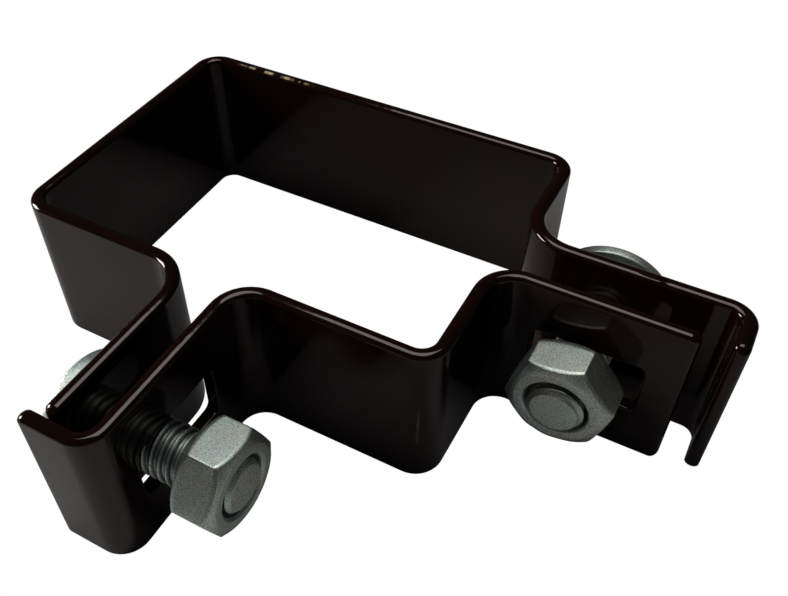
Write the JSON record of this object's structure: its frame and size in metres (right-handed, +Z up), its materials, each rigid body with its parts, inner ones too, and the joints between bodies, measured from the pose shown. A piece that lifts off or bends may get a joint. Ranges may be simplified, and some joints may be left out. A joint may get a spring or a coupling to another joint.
{
  "type": "angle post clamp",
  "caption": "Two folded steel straps that grip a rectangular post at a fence corner, with hooked ears for the panel wires and carriage bolts that draw them together.",
  "frame": {"origin": "on the axis of the post that the clamp grips, level with the lower edges of the straps", "axes": "+X across the 60 mm side of the post and out along the right pair of ears, +Y across its 40 mm side and away from the left pair of ears, +Z up along the post"},
  "size_m": [0.0979, 0.0761, 0.025],
  "materials": {
    "strap_coating": "gloss",
    "zinc_plating": "satin"
  },
  "bodies": {
    "root": {"rear_strap": "strap_coating", "front_strap": "strap_coating", "bolts": "zinc_plating", "nuts": "zinc_plating"}
  },
  "joints": []
}
